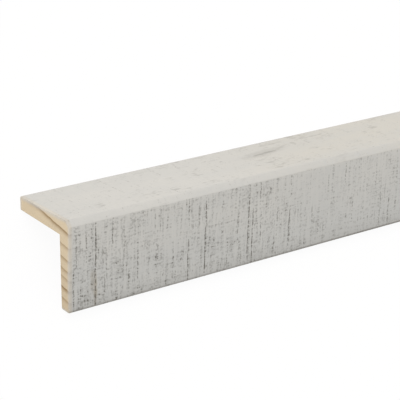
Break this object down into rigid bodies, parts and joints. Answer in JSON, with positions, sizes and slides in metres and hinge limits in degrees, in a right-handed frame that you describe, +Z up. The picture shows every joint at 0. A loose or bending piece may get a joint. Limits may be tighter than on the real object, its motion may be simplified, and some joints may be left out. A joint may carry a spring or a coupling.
{
  "type": "corner guard moulding",
  "caption": "Length of L-section softwood corner guard trim: planed square inside to cover an outer wall corner, rough sawn and whitewashed outside, with tapered legs and a flattened arris.",
  "frame": {"origin": "middle of the length, on the floor under the arris, with both toes resting on Z = 0", "axes": "+X along the length, away from the end that the picture shows; +Z up through the flat on the arris; the leg that faces the viewer comes down on the -Y side, the other on the +Y side"},
  "size_m": [2.4, 0.044, 0.0263],
  "materials": {
    "whitewashed_softwood": "rough sawn faces with a thin off-white wash, fine saw marks showing through; bare planed wood inside and end grain at the cut ends"
  },
  "bodies": {
    "root": {"corner_moulding": "whitewashed_softwood"}
  },
  "joints": []
}
